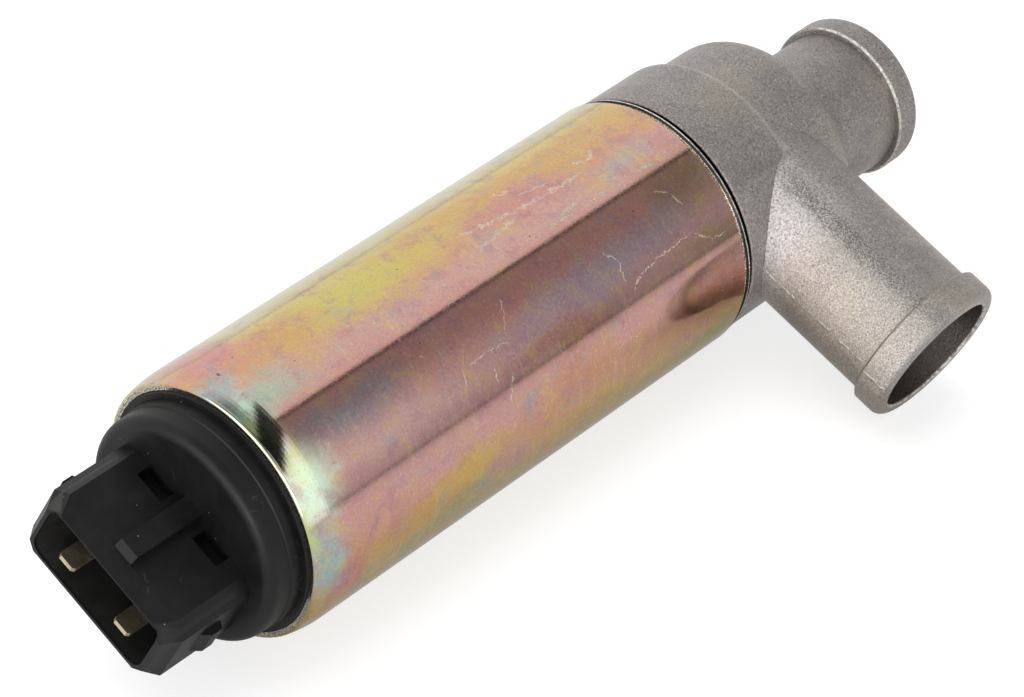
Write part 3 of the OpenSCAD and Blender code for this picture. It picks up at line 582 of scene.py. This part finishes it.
def winding(graph, shader, place):
    """Enamelled copper wire in close turns round the body axis."""
    turns = graph.add("ShaderNodeTexWave", bands_direction="X", wave_profile="SIN")
    graph.put(turns, "Vector", place)
    graph.put(turns, "Scale", 0.7)
    ridge = turns.outputs["Fac"]
    # Painted shade: the copper darkens into the grooves between the turns.
    graph.put(shader, "Base Color", graph.ramp(ridge, (0.0, (92, 40, 22)), (1.0, (186, 102, 62))))
    graph.put(shader, "Metallic", 0.9)
    graph.put(shader, "Roughness", 0.35)
    graph.put(shader, "Normal", graph.bump(ridge, 0.6, 0.00015))


LOOKS = {
    "housing": material("cast_aluminium", cast),
    "can": material("plated_steel", plated),
    "washer": material("bright_ring", ring),
    "gasket": material("dark_gasket", soft((52, 42, 38), (92, 76, 68), 0.6)),
    "cap": material("black_plastic", moulded),
    "blade": material("tinned_brass", metal((178, 162, 132), (238, 228, 200), 1.2, 0.36)),
    "seal": material("black_rubber", soft((16, 16, 16), (30, 30, 30), 0.55)),
    "pole_steel": material("pole_steel", metal((118, 118, 120), (158, 158, 160), 0.8, 0.34)),
    "bright_steel": material("bright_steel", metal((176, 177, 180), (210, 211, 214), 0.8, 0.20)),
    "bronze": material("bronze", metal((150, 106, 60), (188, 140, 86), 1.4, 0.40)),
    "bobbin": material("bobbin_plastic", soft((190, 182, 156), (214, 206, 182), 0.5)),
    "copper": material("copper_winding", winding),
    "guide_brass": material("drawn_brass", metal((176, 146, 80), (204, 176, 108), 0.8, 0.26)),
    "spring": material("spring_wire", metal((150, 150, 152), (190, 190, 193), 1.6, 0.24)),
    "sleeve": material("honed_sleeve", metal((96, 96, 98), (140, 140, 142), 0.9, 0.30)),
    "spool": material("turned_spool", metal((160, 160, 163), (200, 200, 203), 1.0, 0.28)),
}
for entry in frame["record"]["subparts"]:
    piece = nodes[entry["node"]]
    piece.data.materials.clear()
    piece.data.materials.append(LOOKS[entry["material_slot"]])


# ---------------------------------------------------------------- the spring
def make_spring():
    """The return spring in mesh code, on the CAD spring's own box."""
    wire_r, stroke = 0.0005, 0.0045
    turns, steps, sides = 7, 40, 12  # turns of the coil, rings in a turn and corners of a ring
    low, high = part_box("return_spring")
    coil_r = (high[1] - low[1]) / 2 - wire_r
    closed_pitch = 2 * wire_r + 0.00005
    open_rise = high[0] - low[0] - 2 * wire_r - 2 * closed_pitch
    rings = turns * steps
    points, faces = [], []
    for ring_index in range(rings + 1):
        open_share = min(1.0, max(0.0, (ring_index - steps) / (rings - 2 * steps)))
        closed_steps = min(ring_index, steps) + max(0, ring_index - rings + steps)
        middle = low[0] + wire_r + closed_pitch * closed_steps / steps + open_rise * open_share
        turn = 2 * math.pi * ring_index / steps
        for side in range(sides):
            lean = 2 * math.pi * side / sides
            out = coil_r + wire_r * math.cos(lean)
            points.append((middle + wire_r * math.sin(lean), out * math.cos(turn), out * math.sin(turn)))
    for base in range(0, rings * sides, sides):
        for side in range(sides):
            first, second = base + side, base + (side + 1) % sides
            faces.append((first, second, second + sides, first + sides))
    faces.append(tuple(reversed(range(sides))))
    faces.append(tuple(rings * sides + side for side in range(sides)))

    mesh = bpy.data.meshes.new("return_spring_coil")
    mesh.from_pydata(points, [], faces)
    work = bmesh.new()
    work.from_mesh(mesh)
    bmesh.ops.recalc_face_normals(work, faces=work.faces)
    work.to_mesh(mesh)
    work.free()
    mesh.polygons.foreach_set("use_smooth", [True] * len(mesh.polygons))
    mesh.materials.append(LOOKS["spring"])
    coil = bpy.data.objects.new("return_spring_coil", mesh)
    bpy.context.scene.collection.objects.link(coil)
    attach(coil, "stator")
    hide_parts("return_spring")
    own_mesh(coil)


make_spring()


# ---------------------------------------------------------------- stage, light and camera
def floor_look(graph, shader, place):
    """Pale paper that the camera sees as nearly white, though it takes the valve's shadow."""
    graph.put(shader, "Base Color", (0.36, 0.36, 0.36, 1.0))
    graph.put(shader, "Roughness", 0.9)
    graph.put(shader, "Specular IOR Level", 0.1)
    graph.put(shader, "Emission Color", (1.0, 1.0, 1.0, 1.0))
    seen = graph.add("ShaderNodeLightPath").outputs
    graph.put(shader, "Emission Strength", graph.math(
        "ADD", graph.product(seen["Is Camera Ray"], 0.72), graph.product(seen["Is Glossy Ray"], 0.30)))


def make_floor():
    half = 6.0
    mesh = bpy.data.meshes.new("floor")
    corners = [(-half, -half, FLOOR_Z), (half, -half, FLOOR_Z), (half, half, FLOOR_Z), (-half, half, FLOOR_Z)]
    mesh.from_pydata(corners, [], [(0, 1, 2, 3)])
    floor = bpy.data.objects.new("floor", mesh)
    bpy.context.scene.collection.objects.link(floor)
    mesh.materials.append(material("floor_paper", floor_look))


def make_world():
    """A white tent, dark on the photographer's side from the table's edge up to the zenith.

    around is the angle about the body axis, from +Z towards +Y; the valve mirrors all of this.
    """
    tent, even = 0.95, 0.75
    world = bpy.data.worlds.new("studio")
    bpy.context.scene.world = world
    world.use_nodes = True
    graph = Graph(world.node_tree)
    direction = graph.add("ShaderNodeTexCoord").outputs["Generated"]
    x, y, z = graph.split(direction)
    around = graph.angle(y, z)

    # The dark side, with a glow in it, darker lines at its edges and a white end to the left
    glow = graph.product(graph.fade(around, -60.0, -20.0), graph.step(around, -90.0, -64.0, 0.5, 1.0),
                         graph.step(x, 0.535, 0.62, 0.60, 0.12))
    level = graph.math("ADD", 0.345, glow)
    lines = graph.math("MAXIMUM", graph.step(around, -11.0, -8.0), graph.fade(around, -92.0, -86.0))
    level = graph.product(level, graph.math("SUBTRACT", 1.0, graph.product(lines, 0.90)))
    left = graph.product(graph.fade(x, 0.43, 0.54), graph.step(x, -0.95, -0.75))
    level = graph.math("ADD", level, graph.product(left, graph.math("SUBTRACT", 1.12, level)))
    dark = graph.product(graph.step(around, -98.0, -97.4), graph.fade(around, -6.6, -6.0))
    level = graph.math("ADD", tent, graph.product(dark, graph.math("SUBTRACT", level, tent)))

    # A slanting dark streak for the can's rolled lip, and a dark patch overhead for the casting's top
    slant = graph.math("SUBTRACT", graph.math("ADD", around, 38.5), graph.product(x, 75.0))
    streak = graph.product(graph.near(slant, 0.0, 13.0, 20.0), graph.fade(x, 0.47, 0.53),
                           graph.step(x, -0.2, 0.0, 0.0, 0.97))
    level = graph.product(level, graph.math("SUBTRACT", 1.0, streak))
    above = graph.product(graph.near(around, -3.0, 20.0, 50.0), graph.fade(x, 0.22, 0.36),
                          graph.step(x, -0.80, -0.45))
    level = graph.product(level, graph.math("SUBTRACT", 1.0, graph.product(above, 0.72)))

    # A bright lamp low at the plug's end, which the side tail mirrors
    toward_lamp = graph.measure("DOT_PRODUCT", direction, (-0.93, 0.16, 0.34))
    level = graph.math("ADD", level, graph.step(toward_lamp, 0.84, 0.97, 0.0, 2.1))

    # Only mirrors see that pattern; the camera sees white, and the rest is lit evenly
    seen = graph.add("ShaderNodeLightPath").outputs
    mirrored = graph.product(seen["Is Glossy Ray"], graph.math("SUBTRACT", level, even))
    strength = graph.math("ADD", mirrored, even)
    to_white = graph.product(seen["Is Camera Ray"], graph.math("SUBTRACT", 1.0, strength))
    background = graph.add("ShaderNodeBackground")
    graph.put(background, "Color", (1.0, 1.0, 1.0, 1.0))
    graph.put(background, "Strength", graph.math("ADD", to_white, strength))
    output = graph.add("ShaderNodeOutputWorld")
    world.node_tree.links.new(background.outputs[0], output.inputs[0])


def soft_light(name, place, aim, size, watts, mirrored=False):
    """A round soft lamp; metal mirrors it only if mirrored is set."""
    data = bpy.data.lights.new(name, "AREA")
    data.shape = "DISK"
    data.size = size
    data.energy = watts
    lamp = bpy.data.objects.new(name, data)
    bpy.context.scene.collection.objects.link(lamp)
    lamp.location = place
    lamp.rotation_euler = (Vector(aim) - Vector(place)).to_track_quat("-Z", "Y").to_euler()
    lamp.visible_glossy = mirrored


def make_camera():
    data = bpy.data.cameras.new("photo_camera")
    data.sensor_width = 36.0
    data.sensor_fit = "HORIZONTAL"
    data.lens = CAMERA_LENS
    data.clip_start = 0.01
    camera = bpy.data.objects.new("photo_camera", data)
    bpy.context.scene.collection.objects.link(camera)
    camera.location = CAMERA_AT
    camera.rotation_euler = Euler([math.radians(angle) for angle in CAMERA_TURN], "XYZ")
    bpy.context.scene.camera = camera


make_floor()
make_world()
soft_light("overhead", place=(0.05, 0.30, 0.80), aim=(0.0, 0.0, 0.0), size=1.3, watts=9.0)
soft_light("fill", place=(-0.78, -0.46, 0.16), aim=(0.05, -0.03, 0.0), size=0.42, watts=3.5, mirrored=True)
make_camera()
bpy.context.scene.view_settings.view_transform = "Standard"
